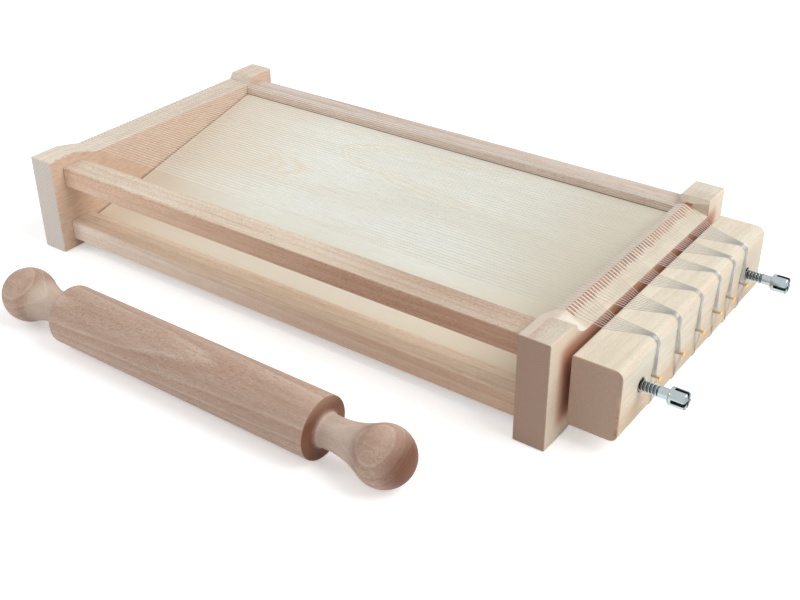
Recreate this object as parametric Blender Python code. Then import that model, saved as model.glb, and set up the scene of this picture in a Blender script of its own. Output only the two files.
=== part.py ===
"""Double-sided wire-strung pasta cutter (chitarra) with its rolling pin.

Two beech bridges stand at the ends of four rails. Steel strings run over the top
and under the bottom of the frame, from nails on the left bridge to nails on a
tension bar, which two screws push away from the right bridge. A board slopes
through the frame from the upper back rail to the lower front rail.

Metres, +Z up. X runs along the strings towards the tension bar, Y runs away
from the side where the rolling pin lies. The origin is the middle of the whole
set's footprint on the table.
"""
import math

import bmesh
import bpy

# Frame as a whole
FRAME_LENGTH = 0.4157
FRAME_HEIGHT = 0.0700
FIT_GAP = 0.0003
CUT_OVERRUN = 0.004
MERGE_DISTANCE = 0.000001

# Bridges: a blank with a wide shallow recess above and below
BRIDGE_LENGTH = 0.2301
BRIDGE_THICKNESS = 0.0204
BRIDGE_EDGE = 0.0008
RECESS_DEPTH = 0.0047
NEAR_EAR_LENGTH = 0.0217
NEAR_RAMP_LENGTH = 0.0195
FAR_EAR_LENGTH = 0.0240
FAR_RAMP_LENGTH = 0.0035
BAND_DROP = 0.0011

# Ridge of the right bridge: a crest, a long bevel and its kerfs
CREST_INSET = 0.0057
BEVEL_NEAR_STOP = 0.0410
BEVEL_FAR_STOP = 0.0273
BEVEL_NEAR_RADIUS = 0.0140
BEVEL_FAR_SKEW = 0.0033
BEVEL_STOP_HEIGHT = 0.0120
KERF_PITCH = 0.00311
KERF_WIDTH = 0.0010
KERF_DEPTH = 0.0005
KERF_RUN = 0.0060
KERF_SAG = 0.0006
KERF_EXIT_GAP = 0.0001
COMB_NEAR_MARGIN = 0.0027
LOWER_KERF_STEPS = 2

# Rails, with a stub tenon at each end
RAIL_DEPTH = 0.0195
RAIL_HEIGHT = 0.0145
RAIL_INSET = 0.0102
RAIL_RISE = 0.0070
RAIL_OUTER_ROUND = 0.0010
RAIL_INNER_ROUND = 0.0008
TENON_LENGTH = 0.0090
TENON_DEPTH = 0.0090
TENON_HEIGHT = 0.0080
TENON_SHOULDER = 0.0030

# Sloping board, let into the upper back rail and the lower front rail
BOARD_THICKNESS = 0.0043
BOARD_GROOVE_DEPTH = 0.0040
BOARD_END_GAP = 0.0006

# Tension bar
BAR_LENGTH = 0.1987
BAR_DEPTH = 0.0305
BAR_HEIGHT = 0.0459
BAR_GAP = 0.0047
BAR_OUTER_ROUND = 0.0052
BAR_INNER_ROUND = 0.0015

# Tension screws, which turn in holes through the bar
SCREW_END_INSET = 0.0242
NEAR_SCREW_RISE = 0.0020
FAR_SCREW_RISE = 0.0005
SCREW_DIAMETER = 0.0072
SCREW_TIP_TAPER = 0.0008
SCREW_THREAD_SHOWING = 0.0111
SCREW_NECK_LENGTH = 0.0060
SCREW_NECK_DIAMETER = 0.0064
SCREW_HEAD_LENGTH = 0.0102
SCREW_HEAD_DIAMETER = 0.0108
SCREW_HEAD_CHAMFER = 0.0007
SCREW_SLOT_WIDTH = 0.0022
SCREW_SLOT_DEPTH = 0.0078

# String nails, six on the bar and six on the left bridge
NAIL_DIAMETER = 0.0013
NAIL_HEAD_DIAMETER = 0.0030
NAIL_HEAD_THICKNESS = 0.0007
NAIL_SHOWING = 0.0054
NAIL_DEPTH = 0.0110
NAIL_TIP = 0.0015
BAR_NAIL_DROP = 0.0010
FIRST_BAR_NAIL_RISE = 0.0014
NAIL_PLACE_SHARES = (-0.3095, -0.1525, -0.0091, 0.1183, 0.2214, 0.3251)
BUNDLE_PLACE_SHARES = (-0.2874, -0.1490, 0.0065, 0.1399, 0.2501, 0.3493)

# Strings
STRING_DIAMETER = 0.0004
STRING_GAP = 0.0001
STRING_SPACING = 0.00075
STRING_LEVEL_START = 0.0003
STRING_LEVEL_STEP = 0.00055
STRING_TAIL = 0.0006
LOWER_BUNDLE_SHIFT = 0.0035

# Rolling pin, turned from one piece
PIN_DIAMETER = 0.0381
PIN_BODY_LENGTH = 0.2031
PIN_EDGE_ROUND = 0.0010
PIN_BALL_DIAMETER = 0.0353
PIN_BALL_SPACING = 0.2850
PIN_NECK_DIAMETER = 0.0195
PIN_WAIST_FROM_BODY = 0.0073
PIN_FACE_FILLET = 0.0042
PIN_DISTANCE = 0.1870
PIN_ALONG = 0.0103

# Number of facets and steps
PIN_SIDES = 28
SCREW_SIDES = 20
NAIL_SIDES = 8
LARGE_ROUND_STEPS = 5
SMALL_ROUND_STEPS = 2
KERF_ARC_STEPS = 3
BALL_STEPS = 6
NECK_STEPS = 4

# Places that follow from the sizes
OUTER_X = FRAME_LENGTH / 2
INNER_X = OUTER_X - BRIDGE_THICKNESS
HALF_Y = BRIDGE_LENGTH / 2
MIDDLE_Z = FRAME_HEIGHT / 2
BAND_Z = FRAME_HEIGHT - RECESS_DEPTH
BAND_NEAR_Y = -HALF_Y + NEAR_EAR_LENGTH + NEAR_RAMP_LENGTH
BAND_FAR_Y = HALF_Y - FAR_EAR_LENGTH - FAR_RAMP_LENGTH
CREST_X = INNER_X + CREST_INSET
RAIL_INNER_Y = HALF_Y - RAIL_INSET - RAIL_DEPTH
RAIL_MIDDLE_Y = RAIL_INNER_Y + RAIL_DEPTH / 2
RAIL_MIDDLE_Z = RAIL_RISE + RAIL_HEIGHT / 2
BAR_INNER_X = OUTER_X + BAR_GAP
BAR_OUTER_X = BAR_INNER_X + BAR_DEPTH
BAR_MIDDLE_X = (BAR_INNER_X + BAR_OUTER_X) / 2
BAR_TOP_Z = MIDDLE_Z + BAR_HEIGHT / 2
SCREW_Y = BAR_LENGTH / 2 - SCREW_END_INSET
SCREW_RADIUS = SCREW_DIAMETER / 2
SCREW_END_X = BAR_OUTER_X + SCREW_THREAD_SHOWING + SCREW_NECK_LENGTH + SCREW_HEAD_LENGTH
NAIL_YS = [share * BAR_LENGTH for share in NAIL_PLACE_SHARES]
BUNDLE_YS = [share * BAR_LENGTH for share in BUNDLE_PLACE_SHARES]
BAR_NAIL_Z = MIDDLE_Z - BAR_NAIL_DROP
BAR_NAIL_ZS = [BAR_NAIL_Z + FIRST_BAR_NAIL_RISE] + [BAR_NAIL_Z] * (len(NAIL_YS) - 1)
BRIDGE_NAIL_ZS = [MIDDLE_Z] * len(NAIL_YS)
SCREW_PLACES = ((-SCREW_Y, MIDDLE_Z + NEAR_SCREW_RISE), (SCREW_Y, MIDDLE_Z + FAR_SCREW_RISE))
PIN_RADIUS = PIN_DIAMETER / 2

# Line of the strings: level over the board, then down to the bar in line with the bevel
STRING_RADIUS = STRING_DIAMETER / 2
STRING_SEAT = STRING_GAP + STRING_RADIUS
KERF_Z = BAND_Z - KERF_DEPTH
STRING_Z = KERF_Z + STRING_SEAT
BAR_BEND_X = BAR_INNER_X + BAR_INNER_ROUND
BAR_STRING_Z = BAR_TOP_Z + STRING_SEAT
STRING_SLOPE = (STRING_Z - BAR_STRING_Z) / (BAR_BEND_X - CREST_X)
BEVEL_SLOPE = STRING_SLOPE + (KERF_DEPTH - STRING_GAP + KERF_EXIT_GAP) / KERF_RUN
COMB_LENGTH = BAND_FAR_Y - BAND_NEAR_Y - COMB_NEAR_MARGIN
KERF_COUNT = int(COMB_LENGTH / KERF_PITCH) + 1
KERF_YS = [BAND_NEAR_Y + COMB_NEAR_MARGIN + KERF_PITCH * i for i in range(KERF_COUNT)]
LOWER_KERF_YS = KERF_YS[::LOWER_KERF_STEPS]

# The origin: middle of the footprint of the frame, bar, screws and pin together
LEFT_END_X = -OUTER_X - NAIL_SHOWING
PIN_NEAR_Y = -PIN_DISTANCE - PIN_RADIUS
FOOTPRINT_X = (LEFT_END_X + SCREW_END_X) / 2
FOOTPRINT_Y = (PIN_NEAR_Y + HALF_Y) / 2

# Colours: red, green, blue, roughness, metallic
PINK_BEECH = (0.72, 0.52, 0.40, 0.62, 0.0)
PALE_BEECH = (0.80, 0.66, 0.50, 0.62, 0.0)
RAIL_BEECH = (0.74, 0.50, 0.36, 0.60, 0.0)
BIRCH = (0.86, 0.78, 0.62, 0.55, 0.0)
STEEL = (0.62, 0.63, 0.64, 0.32, 1.0)
ZINC = (0.66, 0.72, 0.76, 0.22, 1.0)
BRASS = (0.83, 0.56, 0.20, 0.28, 1.0)

for old in list(bpy.data.objects):
    bpy.data.objects.remove(old, do_unlink=True)

SET_ORIGIN = bpy.data.objects.new("set_origin", None)
SET_ORIGIN.location = (-FOOTPRINT_X, -FOOTPRINT_Y, 0)
bpy.context.scene.collection.objects.link(SET_ORIGIN)


def material(name, look):
    """A plain Principled material from one of the looks above."""
    made = bpy.data.materials.new(name)
    made.use_nodes = True
    shader = made.node_tree.nodes["Principled BSDF"]
    shader.inputs["Base Color"].default_value = (look[0], look[1], look[2], 1)
    shader.inputs["Roughness"].default_value = look[3]
    shader.inputs["Metallic"].default_value = look[4]
    return made


def piece(name, data, look, place=(0, 0, 0), turn=(0, 0, 0)):
    """A named piece of the set, placed in the frame's own coordinates."""
    made = bpy.data.objects.new(name, data)
    made.location = place
    made.rotation_euler = turn
    made.parent = SET_ORIGIN
    data.materials.append(material(name, look))
    bpy.context.scene.collection.objects.link(made)
    return made


def cutter(name, data, place=(0, 0, 0), turn=(0, 0, 0)):
    """A solid that only shapes others."""
    made = bpy.data.objects.new(name, data)
    made.location = place
    made.rotation_euler = turn
    made.parent = SET_ORIGIN
    made.hide_render = True
    made.display_type = "WIRE"
    bpy.context.scene.collection.objects.link(made)
    return made


def combine(target, tool, operation):
    """Boolean of a piece with a tool solid."""
    step = target.modifiers.new(tool.name, "BOOLEAN")
    step.operation = operation
    step.object = tool
    step.solver = "EXACT"


def finished(shape, name, smooth=False):
    """Mesh data from a bmesh, with its faces pointing out."""
    bmesh.ops.remove_doubles(shape, verts=shape.verts, dist=MERGE_DISTANCE)
    bmesh.ops.recalc_face_normals(shape, faces=shape.faces)
    data = bpy.data.meshes.new(name)
    shape.to_mesh(data)
    shape.free()
    if smooth:
        data.shade_smooth()
        data.set_sharp_from_angle(angle=math.radians(35))
    return data


def add_loft(shape, loops):
    """Skin from loop to loop, closed by a face over the first and the last."""
    rings = []
    for loop in loops:
        rings.append([shape.verts.new(point) for point in loop])
    for first, second in zip(rings, rings[1:]):
        for i in range(len(first)):
            j = (i + 1) % len(first)
            shape.faces.new((first[i], first[j], second[j], second[i]))
    shape.faces.new(list(reversed(rings[0])))
    shape.faces.new(rings[-1])


def add_turned(shape, profile, sides, centre, direction=1):
    """Spin (along, radius) points about a line through the centre, along X."""
    points = []
    for along, radius in profile:
        points.append((centre[0] + direction * along, centre[1], centre[2] + radius))
    verts = [shape.verts.new(point) for point in points]
    edges = [shape.edges.new(pair) for pair in zip(verts, verts[1:])]
    bmesh.ops.spin(
        shape, geom=verts + edges, cent=centre, axis=(1, 0, 0), dvec=(0, 0, 0),
        angle=2 * math.pi, steps=sides, use_merge=True, use_duplicate=False)


def box_mesh(name, size):
    """A block of the given size about its own middle."""
    shape = bmesh.new()
    bmesh.ops.create_cube(shape, size=1)
    bmesh.ops.scale(shape, vec=size, verts=shape.verts)
    return finished(shape, name)


def rounded_outline(width, height, radii, steps):
    """Rectangle about zero with its own radius at each corner, from the lower left one."""
    corners = ((-1, -1), (1, -1), (1, 1), (-1, 1))
    points = []
    for number, (side, rise) in enumerate(corners):
        radius = radii[number]
        start = math.pi + number * math.pi / 2
        for k in range(steps[number] + 1):
            angle = start + math.pi / 2 * k / steps[number]
            across = side * (width / 2 - radius) + radius * math.cos(angle)
            up = rise * (height / 2 - radius) + radius * math.sin(angle)
            points.append((across, up))
    return points


def upright(side, z):
    """A height on the upper side, or the same one mirrored to the lower side."""
    return z if side > 0 else FRAME_HEIGHT - z


def recess_mesh(name, side, stations):
    """Cutter of the shallow recess; its floor follows the (x, z) stations."""
    shape = bmesh.new()
    top = FRAME_HEIGHT + CUT_OVERRUN
    near = BAND_NEAR_Y - NEAR_RAMP_LENGTH
    far = BAND_FAR_Y + FAR_RAMP_LENGTH
    loops = []
    for x, floor in stations:
        outline = (
            (near, top), (near, FRAME_HEIGHT), (BAND_NEAR_Y, floor),
            (BAND_FAR_Y, floor), (far, FRAME_HEIGHT), (far, top))
        loops.append([(x, y, upright(side, z)) for y, z in outline])
    add_loft(shape, loops)
    bmesh.ops.triangulate(shape, faces=shape.faces)
    return finished(shape, name)


def comb_mesh(name, side, outline, places):
    """One cutter with a thin prism of the (x, z) outline at each place along Y."""
    shape = bmesh.new()
    for y in places:
        loops = []
        for edge in (y - KERF_WIDTH / 2, y + KERF_WIDTH / 2):
            loops.append([(x, edge, upright(side, z)) for x, z in outline])
        add_loft(shape, loops)
    return finished(shape, name)


def bridge_blank(name, x):
    """Rounded beech block that a bridge is cut from."""
    size = (BRIDGE_THICKNESS, BRIDGE_LENGTH, FRAME_HEIGHT)
    made = piece(name, box_mesh(name, size), PINK_BEECH, (x, 0, MIDDLE_Z))
    rounding = made.modifiers.new("edges", "BEVEL")
    rounding.width = BRIDGE_EDGE
    rounding.segments = SMALL_ROUND_STEPS
    return made


def mortises(bridge, direction):
    """Blind mortises for the four rail tenons, on the bridge's inner face."""
    size = (
        TENON_LENGTH + FIT_GAP + CUT_OVERRUN,
        TENON_DEPTH + 2 * FIT_GAP,
        TENON_HEIGHT + 2 * FIT_GAP)
    x = direction * (INNER_X + (TENON_LENGTH + FIT_GAP - CUT_OVERRUN) / 2)
    for side in (-1, 1):
        for high in (-1, 1):
            y = side * (HALF_Y - RAIL_INSET - TENON_SHOULDER - TENON_DEPTH / 2)
            z = MIDDLE_Z + high * (MIDDLE_Z - RAIL_MIDDLE_Z)
            name = "cut_mortise_%s_%d_%d" % (bridge.name, side, high)
            combine(bridge, cutter(name, box_mesh(name, size), (x, y, z)), "DIFFERENCE")


# Left bridge: the band falls a little towards the board, and a notch at the
# outer arris holds each string
left_bridge = bridge_blank("left_bridge", -OUTER_X + BRIDGE_THICKNESS / 2)
slope = BAND_DROP / BRIDGE_THICKNESS
left_stations = (
    (-OUTER_X - CUT_OVERRUN, BAND_Z + slope * CUT_OVERRUN),
    (-INNER_X + CUT_OVERRUN, BAND_Z - slope * (BRIDGE_THICKNESS + CUT_OVERRUN)))
notch_outline = (
    (-OUTER_X - CUT_OVERRUN, KERF_Z),
    (-INNER_X + CUT_OVERRUN, KERF_Z),
    (-INNER_X + CUT_OVERRUN, FRAME_HEIGHT + CUT_OVERRUN),
    (-OUTER_X - CUT_OVERRUN, FRAME_HEIGHT + CUT_OVERRUN))

# Right bridge: a level floor, then a band that falls inwards from the crest
right_bridge = bridge_blank("right_bridge", OUTER_X - BRIDGE_THICKNESS / 2)
slope = BAND_DROP / CREST_INSET
right_stations = (
    (INNER_X - CUT_OVERRUN, BAND_Z - slope * (CREST_INSET + CUT_OVERRUN)),
    (CREST_X, BAND_Z),
    (OUTER_X + CUT_OVERRUN, BAND_Z))


def kerf_outline():
    """Side view of one saw kerf: level to the crest, then a shallow scoop down the bevel."""
    end_x = CREST_X + KERF_RUN
    end_z = BAND_Z - BEVEL_SLOPE * KERF_RUN + KERF_EXIT_GAP
    points = [(INNER_X - CUT_OVERRUN, KERF_Z), (CREST_X, KERF_Z)]
    for k in range(1, KERF_ARC_STEPS):
        part = k / KERF_ARC_STEPS
        x = CREST_X + (end_x - CREST_X) * part
        z = KERF_Z + (end_z - KERF_Z) * part - 4 * KERF_SAG * part * (1 - part)
        points.append((x, z))
    points.append((end_x, end_z))
    points.append((end_x, FRAME_HEIGHT + CUT_OVERRUN))
    points.append((INNER_X - CUT_OVERRUN, FRAME_HEIGHT + CUT_OVERRUN))
    return points


def bevel_mesh(name, side):
    """Path of the round cutter that made the bevel: an arc at one stop, a skew wall at the other."""
    angle = math.atan(BEVEL_SLOPE)
    near = -HALF_Y + BEVEL_NEAR_STOP
    far = HALF_Y - BEVEL_FAR_STOP
    outline = []
    for k in range(LARGE_ROUND_STEPS + 1):
        turn = math.pi / 2 * (1 - k / LARGE_ROUND_STEPS)
        y = near - BEVEL_NEAR_RADIUS * math.sin(turn)
        outline.append((y, BEVEL_NEAR_RADIUS * (1 - math.cos(turn))))
    outline.append((far, 0))
    outline.append((far, BEVEL_NEAR_RADIUS + BEVEL_STOP_HEIGHT))
    outline.append((near - BEVEL_NEAR_RADIUS, BEVEL_NEAR_RADIUS + BEVEL_STOP_HEIGHT))
    reach = (OUTER_X - CREST_X + CUT_OVERRUN) / math.cos(angle)
    shape = bmesh.new()
    loops = []
    for along, skew in ((0, 0), (reach, BEVEL_FAR_SKEW)):
        loop = []
        for place_y, lift in outline:
            y = place_y + skew if place_y == far else place_y
            x = CREST_X + along * math.cos(angle) + lift * math.sin(angle)
            z = BAND_Z - along * math.sin(angle) + lift * math.cos(angle)
            loop.append((x, y, upright(side, z)))
        loops.append(loop)
    add_loft(shape, loops)
    return finished(shape, name)


for side, word, places in ((1, "upper", KERF_YS), (-1, "lower", LOWER_KERF_YS)):
    for bridge, stations, outline in (
            (left_bridge, left_stations, notch_outline),
            (right_bridge, right_stations, kerf_outline())):
        name = "cut_recess_%s_%s" % (word, bridge.name)
        combine(bridge, cutter(name, recess_mesh(name, side, stations)), "DIFFERENCE")
        if bridge is right_bridge:
            name = "cut_bevel_" + word
            combine(bridge, cutter(name, bevel_mesh(name, side)), "DIFFERENCE")
        name = "cut_comb_%s_%s" % (word, bridge.name)
        combine(bridge, cutter(name, comb_mesh(name, side, outline, places)), "DIFFERENCE")

mortises(left_bridge, -1)
mortises(right_bridge, 1)

# Board, through the middle of the frame, and the grooves that hold its long edges
BOARD_ANGLE = math.atan2(MIDDLE_Z - RAIL_MIDDLE_Z, RAIL_INNER_Y + BOARD_GROOVE_DEPTH / 2)
BOARD_WIDTH = 2 * (RAIL_INNER_Y + BOARD_GROOVE_DEPTH) / math.cos(BOARD_ANGLE)
board_size = (2 * (INNER_X - BOARD_END_GAP), BOARD_WIDTH, BOARD_THICKNESS)
board = piece("board", box_mesh("board", board_size), BIRCH, (0, 0, MIDDLE_Z), (BOARD_ANGLE, 0, 0))
groove_size = (
    2 * (INNER_X + CUT_OVERRUN),
    BOARD_WIDTH + 2 * FIT_GAP,
    BOARD_THICKNESS + 2 * FIT_GAP)
groove = cutter(
    "cut_board_grooves", box_mesh("cut_board_grooves", groove_size),
    (0, 0, MIDDLE_Z), (BOARD_ANGLE, 0, 0))


def rail(name, side, high):
    """A rail between the bridges; its outer arrises are rounded most."""
    outer, inner = RAIL_OUTER_ROUND, RAIL_INNER_ROUND
    radii = (inner, outer, outer, inner) if side > 0 else (outer, inner, inner, outer)
    steps = (SMALL_ROUND_STEPS,) * len(radii)
    outline = rounded_outline(RAIL_DEPTH, RAIL_HEIGHT, radii, steps)
    end = INNER_X - FIT_GAP
    shape = bmesh.new()
    add_loft(shape, [[(x, y, z) for y, z in outline] for x in (-end, end)])
    place = (0, side * RAIL_MIDDLE_Y, MIDDLE_Z + high * (MIDDLE_Z - RAIL_MIDDLE_Z))
    made = piece(name, finished(shape, name), RAIL_BEECH if high > 0 else PALE_BEECH, place)
    tenon_size = (2 * (INNER_X + TENON_LENGTH), TENON_DEPTH, TENON_HEIGHT)
    tenon_y = side * (HALF_Y - RAIL_INSET - TENON_SHOULDER - TENON_DEPTH / 2)
    tenon = "add_tenons_" + name
    combine(made, cutter(tenon, box_mesh(tenon, tenon_size), (0, tenon_y, place[2])), "UNION")
    return made


upper_front_rail = rail("upper_front_rail", -1, 1)
upper_back_rail = rail("upper_back_rail", 1, 1)
lower_front_rail = rail("lower_front_rail", -1, -1)
lower_back_rail = rail("lower_back_rail", 1, -1)
combine(upper_back_rail, groove, "DIFFERENCE")
combine(lower_front_rail, groove, "DIFFERENCE")

# Tension bar: the outer arrises carry the strings round and have the large radius
bar_outline = rounded_outline(
    BAR_DEPTH, BAR_HEIGHT,
    (BAR_INNER_ROUND, BAR_OUTER_ROUND, BAR_OUTER_ROUND, BAR_INNER_ROUND),
    (SMALL_ROUND_STEPS, LARGE_ROUND_STEPS, LARGE_ROUND_STEPS, SMALL_ROUND_STEPS))
bar_shape = bmesh.new()
bar_ends = (-BAR_LENGTH / 2, BAR_LENGTH / 2)
add_loft(bar_shape, [[(x, y, z) for x, z in bar_outline] for y in bar_ends])
tension_bar = piece(
    "tension_bar", finished(bar_shape, "tension_bar"), PALE_BEECH, (BAR_MIDDLE_X, 0, MIDDLE_Z))

screw_holes = bmesh.new()
for hole_y, hole_z in SCREW_PLACES:
    hole = SCREW_RADIUS + FIT_GAP
    through = (
        (-CUT_OVERRUN, 0), (-CUT_OVERRUN, hole),
        (BAR_DEPTH + CUT_OVERRUN, hole), (BAR_DEPTH + CUT_OVERRUN, 0))
    add_turned(screw_holes, through, SCREW_SIDES, (BAR_INNER_X, hole_y, hole_z))
screw_hole_tool = cutter("cut_screw_holes", finished(screw_holes, "cut_screw_holes"))
combine(tension_bar, screw_hole_tool, "DIFFERENCE")


def nail_row(name, carrier, face_x, heights, direction):
    """Six brass nails, each in its own hole."""
    radius = NAIL_DIAMETER / 2
    head = NAIL_HEAD_DIAMETER / 2
    neck = NAIL_SHOWING - NAIL_HEAD_THICKNESS
    profile = (
        (-NAIL_DEPTH, 0), (-NAIL_DEPTH + NAIL_TIP, radius), (neck, radius),
        (neck, head), (NAIL_SHOWING, head), (NAIL_SHOWING, 0))
    hole_end = -NAIL_DEPTH - FIT_GAP
    hole = (
        (hole_end, 0), (hole_end, radius + FIT_GAP),
        (CUT_OVERRUN, radius + FIT_GAP), (CUT_OVERRUN, 0))
    holes = bmesh.new()
    for number, (y, z) in enumerate(zip(NAIL_YS, heights)):
        label = "%s_%d" % (name, number + 1)
        nail = bmesh.new()
        add_turned(nail, profile, NAIL_SIDES, (0, 0, 0), direction)
        piece(label, finished(nail, label, smooth=True), BRASS, (face_x, y, z))
        add_turned(holes, hole, NAIL_SIDES, (face_x, y, z), direction)
    tool = "cut_holes_" + name
    combine(carrier, cutter(tool, finished(holes, tool)), "DIFFERENCE")


nail_row("bar_nail", tension_bar, BAR_OUTER_X, BAR_NAIL_ZS, 1)
nail_row("bridge_nail", left_bridge, -OUTER_X, BRIDGE_NAIL_ZS, -1)


def tension_screw(name, y, z):
    """Headed screw whose tip bears on the bridge; its head is split by a cross slot."""
    start = FIT_GAP
    thread_end = BAR_OUTER_X + SCREW_THREAD_SHOWING - OUTER_X
    head_start = thread_end + SCREW_NECK_LENGTH
    head_end = head_start + SCREW_HEAD_LENGTH
    neck = SCREW_NECK_DIAMETER / 2
    head = SCREW_HEAD_DIAMETER / 2
    chamfer = SCREW_HEAD_CHAMFER
    profile = (
        (start, 0), (start, SCREW_RADIUS - SCREW_TIP_TAPER),
        (start + SCREW_TIP_TAPER, SCREW_RADIUS), (thread_end, SCREW_RADIUS),
        (thread_end + SCREW_RADIUS - neck, neck), (head_start, neck),
        (head_start, head - chamfer), (head_start + chamfer, head),
        (head_end - chamfer, head), (head_end, head - chamfer), (head_end, 0))
    shape = bmesh.new()
    add_turned(shape, profile, SCREW_SIDES, (0, 0, 0))
    place = (OUTER_X, y, z)
    made = piece(name, finished(shape, name, smooth=True), ZINC, place)
    deep = SCREW_SLOT_DEPTH + CUT_OVERRUN
    wide = SCREW_HEAD_DIAMETER + CUT_OVERRUN
    slot_x = OUTER_X + head_end + (CUT_OVERRUN - SCREW_SLOT_DEPTH) / 2
    for word, size in (
            ("upright", (deep, SCREW_SLOT_WIDTH, wide)),
            ("level", (deep, wide, SCREW_SLOT_WIDTH))):
        tool = "cut_slot_%s_%s" % (word, name)
        combine(made, cutter(tool, box_mesh(tool, size), (slot_x, y, z)), "DIFFERENCE")
    return made


for name, (y, z) in zip(("near_tension_screw", "far_tension_screw"), SCREW_PLACES):
    tension_screw(name, y, z)


def shared_pairs(pairs, nails):
    """Pairs of strings for each nail; the spare pairs go to the second and last nails first."""
    shares = [pairs // nails] * nails
    order = [1 % nails, nails - 1] + [n for n in range(nails) if n not in (1, nails - 1)]
    for number in range(pairs % nails):
        shares[order[number]] += 1
    return shares


def half_route(side, kerf_y, bundle_y, nail, leg, slot):
    """One string from the bridge nail to the bar nail, as points."""
    seat = STRING_SEAT
    level = string_level(slot)
    leg_y = nail[0] + leg * (NAIL_DIAMETER / 2 + seat)
    points = [
        (-OUTER_X - level, leg_y, MIDDLE_Z),
        (-OUTER_X - seat, kerf_y, upright(side, STRING_Z)),
        (CREST_X, kerf_y, upright(side, STRING_Z)),
        (CREST_X + KERF_RUN, kerf_y, upright(side, STRING_Z - STRING_SLOPE * KERF_RUN))]
    # round the arris the wire keeps outside the arc, with its two bends on tangents
    eighth = math.pi / 8
    reach = (BAR_OUTER_ROUND + seat) / math.cos(eighth)
    fan_x = CREST_X + KERF_RUN
    turn_x = BAR_OUTER_X - BAR_OUTER_ROUND
    part = (BAR_BEND_X - fan_x) / (turn_x + reach * math.sin(eighth) - fan_x)
    bend_y = kerf_y + (bundle_y - kerf_y) * part
    points.append((BAR_BEND_X, bend_y, upright(side, BAR_STRING_Z)))
    for angle in (eighth, 3 * eighth):
        x = turn_x + reach * math.sin(angle)
        z = BAR_TOP_Z - BAR_OUTER_ROUND + reach * math.cos(angle)
        points.append((x, bundle_y, upright(side, z)))
    points.append((BAR_OUTER_X + level, leg_y, nail[1]))
    return points


def string_level(slot):
    """How far out along a nail a turn of the wire lies."""
    return STRING_LEVEL_START + STRING_RADIUS + STRING_LEVEL_STEP * slot


def hook_bend(side, start_x, end_x, nail_y, nail_z, leg):
    """Half turn round a nail, from the given leg to the other one."""
    hook = NAIL_DIAMETER / 2 + STRING_SEAT
    points = []
    for k in (1, 2, 3):
        angle = math.pi / 4 * k
        x = start_x + (end_x - start_x) * k / 4
        y = nail_y + leg * hook * math.cos(angle)
        z = nail_z - side * hook * math.sin(angle)
        points.append((x, y, z))
    return points


def string_group(name, side, kerf_ys, bundle_y, nail, slots):
    """One wire that runs to and fro between its bridge nail and its bar nail."""
    data = bpy.data.curves.new(name, "CURVE")
    data.dimensions = "3D"
    data.fill_mode = "FULL"
    data.bevel_depth = STRING_RADIUS
    data.bevel_resolution = 0
    data.use_fill_caps = True
    count = len(kerf_ys)
    bundle_ys = [bundle_y + STRING_SPACING * (i - (count - 1) / 2) for i in range(count)]
    points = []
    for number, slot in enumerate(slots):
        other = count - 1 - number
        out = half_route(side, kerf_ys[number], bundle_ys[number], nail, -1, slot)
        back = half_route(side, kerf_ys[other], bundle_ys[other], nail, 1, slot)
        if points:
            points += hook_bend(side, points[-1][0], out[0][0], nail[0], MIDDLE_Z, 1)
        points += out
        points += hook_bend(side, out[-1][0], back[-1][0], nail[0], nail[1], -1)
        points += list(reversed(back))
    first, last = points[0], points[-1]
    points.insert(0, (first[0], first[1], MIDDLE_Z - side * STRING_TAIL))
    points.append((last[0], last[1], MIDDLE_Z - side * STRING_TAIL))
    spline = data.splines.new("POLY")
    spline.points.add(len(points) - 1)
    for target, point in zip(spline.points, points):
        target.co = (point[0], point[1], point[2], 1)
    return piece(name, data, STEEL)


nail_total = len(NAIL_YS)
upper_pairs = shared_pairs(len(KERF_YS) // 2, nail_total)
lower_pairs = shared_pairs(len(LOWER_KERF_YS) // 2, nail_total)
first_upper = 0
first_lower = 0
for n in range(nail_total):
    upper, lower = upper_pairs[n], lower_pairs[n]
    upper_slots = list(range(upper))
    lower_slots = list(range(upper, upper + lower))
    upper_kerfs = KERF_YS[first_upper:first_upper + 2 * upper]
    lower_kerfs = LOWER_KERF_YS[first_lower:first_lower + 2 * lower]
    nail = (NAIL_YS[n], BAR_NAIL_ZS[n])
    string_group(
        "upper_strings_%d" % (n + 1), 1, upper_kerfs, BUNDLE_YS[n], nail, upper_slots)
    string_group(
        "lower_strings_%d" % (n + 1), -1, lower_kerfs, nail[0] + LOWER_BUNDLE_SHIFT, nail,
        lower_slots)
    first_upper += 2 * upper
    first_lower += 2 * lower


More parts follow.
